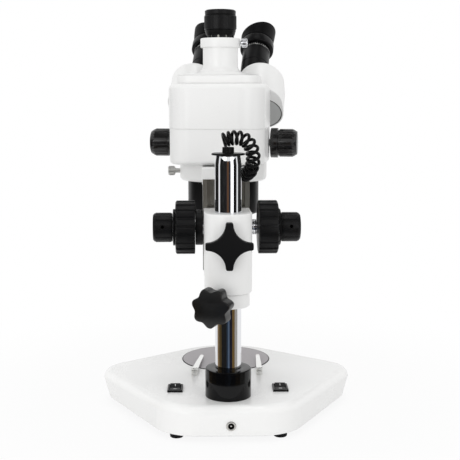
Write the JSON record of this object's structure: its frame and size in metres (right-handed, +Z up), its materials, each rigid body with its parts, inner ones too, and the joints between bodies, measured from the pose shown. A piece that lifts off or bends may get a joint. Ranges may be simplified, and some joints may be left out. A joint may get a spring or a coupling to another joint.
{
  "type": "stereo microscope",
  "caption": "Trinocular zoom stereo microscope: pillar stand on a lit base, rack and pinion focus arm, turning head, zoom knobs, hinged eyepieces with winged cups and a curly lamp cord.",
  "frame": {"origin": "on the bench under the middle of the instrument's bounding box, without the cord", "axes": "+Z up along the pillar, -Y towards the user, +X to the user's right as they face the instrument"},
  "size_m": [0.258, 0.2857, 0.4063],
  "materials": {
    "white_paint": "semi-gloss powder paint",
    "black_gloss": "gloss",
    "black_satin": "satin",
    "black_anodised": "black anodised",
    "chrome": "polished",
    "steel": "fine turned",
    "machined_slide": "milled",
    "rack_brass": "milled",
    "plate_steel": "dull",
    "rubber": "matt",
    "cord": "satin",
    "frosted_plate": "frosted translucent",
    "board": "solder mask",
    "cover_grey": "satin",
    "lens": "coated"
  },
  "bodies": {
    "root": {"base_shell": "white_paint", "base_plate": "plate_steel", "rubber_feet": "rubber", "base_screws": "steel", "stage_plate": "frosted_plate", "lamp_board": "board", "pillar_socket": "black_gloss", "pillar": "chrome", "pillar_cap": "black_satin", "power_jack": "steel", "switch_bezels": "black_satin", "clip_posts": "steel", "lamp_cord": "cord"},
    "rocker_left": {"rocker_left": "black_satin"},
    "rocker_right": {"rocker_right": "black_satin"},
    "clip_left": {"stage_clip_left": "steel"},
    "clip_right": {"stage_clip_right": "steel"},
    "collar": {"stop_collar": "white_paint"},
    "collar_knob": {"collar_knob": "black_gloss"},
    "carrier": {"focus_housing": "white_paint", "slide_guide": "machined_slide", "shaft_bushes": "chrome"},
    "cross_knob": {"cross_knob": "black_satin"},
    "tension_ring": {"tension_ring": "black_satin"},
    "coarse_drive": {"coarse_shaft": "steel", "coarse_knob_left": "black_satin", "coarse_knob_right": "black_satin"},
    "fine_drive": {"fine_knob_left": "black_satin", "fine_knob_right": "black_satin"},
    "arm": {"focus_slide": "machined_slide", "focus_rack": "rack_brass", "ring_arm": "white_paint", "cord_gland": "black_satin", "top_lamp": "black_anodised"},
    "ring_screw": {"ring_screw": "steel"},
    "head": {"head_lower": "white_paint", "head_upper": "white_paint", "head_cap": "white_paint", "objective_barrel": "black_anodised", "objective_lens": "lens", "zoom_tubes": "machined_slide", "camera_tube": "white_paint", "camera_adapter": "black_satin"},
    "zoom": {"zoom_shaft": "steel", "zoom_knob_left": "black_satin", "zoom_knob_right": "black_satin"},
    "camera_sleeve": {"camera_sleeve": "black_satin"},
    "camera_screw": {"camera_screw": "chrome"},
    "prism_left": {"prism_housing_left": "white_paint", "prism_cover_left": "cover_grey", "eyepiece_left": "black_anodised", "eye_lens_left": "lens", "eyecup_left": "rubber"},
    "prism_right": {"prism_housing_right": "white_paint", "prism_cover_right": "cover_grey", "eyepiece_right": "black_anodised", "eye_lens_right": "lens", "eyecup_right": "rubber"},
    "dioptre_left": {"dioptre_ring_left": "black_satin"},
    "dioptre_right": {"dioptre_ring_right": "black_satin"}
  },
  "joints": [
    {"name": "height", "type": "slide", "parent": "root", "child": "collar", "axis": [0, 0, 1], "range_m": [-0.055, 0.042], "deforming": ["lamp_cord"]},
    {"name": "collar_clamp", "type": "hinge", "parent": "collar", "child": "collar_knob", "pos_m": [0, 0.0915, 0.129], "axis": [0.3584, 0.9336, 0], "range_deg": [0, 360]},
    {"name": "swivel", "type": "hinge", "parent": "collar", "child": "carrier", "pos_m": [0, 0.0915, 0.136], "axis": [0, 0, 1], "range_deg": [-90, 90], "deforming": ["lamp_cord"]},
    {"name": "housing_clamp", "type": "hinge", "parent": "carrier", "child": "cross_knob", "pos_m": [0, 0.0915, 0.1834], "axis": [-0.0192, 0.9998, 0], "range_deg": [0, 360]},
    {"name": "tension", "type": "hinge", "parent": "carrier", "child": "tension_ring", "pos_m": [0.02672, 0.05401, 0.192], "axis": [0.9998, 0.0192, 0], "range_deg": [0, 60]},
    {"name": "focus", "type": "slide", "parent": "carrier", "child": "arm", "axis": [0, 0, 1], "range_m": [-0.02, 0.03], "deforming": ["lamp_cord"]},
    {"name": "coarse_turn", "type": "hinge", "parent": "carrier", "child": "coarse_drive", "pos_m": [0.00073, 0.05351, 0.192], "axis": [0.9998, 0.0192, 0], "range_deg": [-270, 180]},
    {"name": "fine_turn", "type": "hinge", "parent": "carrier", "child": "fine_drive", "pos_m": [0.00073, 0.05351, 0.192], "axis": [0.9998, 0.0192, 0], "range_deg": [-1620, 1080]},
    {"name": "ring_clamp", "type": "hinge", "parent": "arm", "child": "ring_screw", "pos_m": [0.00246, -0.03648, 0.2405], "axis": [0.9998, 0.0192, 0], "range_deg": [0, 720]},
    {"name": "head_turn", "type": "hinge", "parent": "arm", "child": "head", "pos_m": [0.00246, -0.03648, 0.25], "axis": [0, 0, 1], "continuous": true},
    {"name": "zoom_turn", "type": "hinge", "parent": "head", "child": "zoom", "pos_m": [0.00165, -0.04141, 0.27], "axis": [0.9869, -0.1616, 0], "range_deg": [-110, 110]},
    {"name": "camera_clamp", "type": "hinge", "parent": "head", "child": "camera_screw", "pos_m": [0.00569, -0.01674, 0.37255], "axis": [-0.9869, 0.1616, 0], "range_deg": [0, 720]},
    {"name": "camera_focus", "type": "hinge", "parent": "head", "child": "camera_sleeve", "pos_m": [0.00569, -0.01674, 0.393], "axis": [0, 0, 1], "range_deg": [-180, 180]},
    {"name": "eyes_left", "type": "hinge", "parent": "head", "child": "prism_left", "pos_m": [0.03712, -0.06242, 0.301], "axis": [-0.1143, -0.6978, 0.7071], "range_deg": [0, 36]},
    {"name": "eyes_right", "type": "hinge", "parent": "head", "child": "prism_right", "pos_m": [-0.03867, -0.05001, 0.301], "axis": [-0.1143, -0.6978, 0.7071], "range_deg": [-36, 0]},
    {"name": "dioptre_left_turn", "type": "hinge", "parent": "prism_left", "child": "dioptre_left", "pos_m": [0.02789, -0.05131, 0.31048], "axis": [-0.1143, -0.6978, 0.7071], "range_deg": [-150, 150]},
    {"name": "dioptre_right_turn", "type": "hinge", "parent": "prism_right", "child": "dioptre_right", "pos_m": [-0.02638, -0.04242, 0.31048], "axis": [-0.1143, -0.6978, 0.7071], "range_deg": [-150, 150]},
    {"name": "rocker_left_press", "type": "hinge", "parent": "root", "child": "rocker_left", "pos_m": [0.0515, 0.0725, 0.0343], "axis": [1, 0, 0], "range_deg": [0, 18]},
    {"name": "rocker_right_press", "type": "hinge", "parent": "root", "child": "rocker_right", "pos_m": [-0.0515, 0.0725, 0.0343], "axis": [1, 0, 0], "range_deg": [0, 18]},
    {"name": "clip_left_swing", "type": "hinge", "parent": "root", "child": "clip_left", "pos_m": [0.0335, 0.0245, 0.039], "axis": [0, 0, 1], "range_deg": [-12, 75]},
    {"name": "clip_right_swing", "type": "hinge", "parent": "root", "child": "clip_right", "pos_m": [-0.0335, 0.0245, 0.039], "axis": [0, 0, 1], "range_deg": [-75, 12]}
  ],
  "couplings": [
    {"joint": "coarse_turn", "follows": "focus", "rad_per_m": -156.25},
    {"joint": "fine_turn", "follows": "focus", "rad_per_m": -937.5},
    {"joint": "eyes_right", "follows": "eyes_left", "ratio": -1}
  ]
}
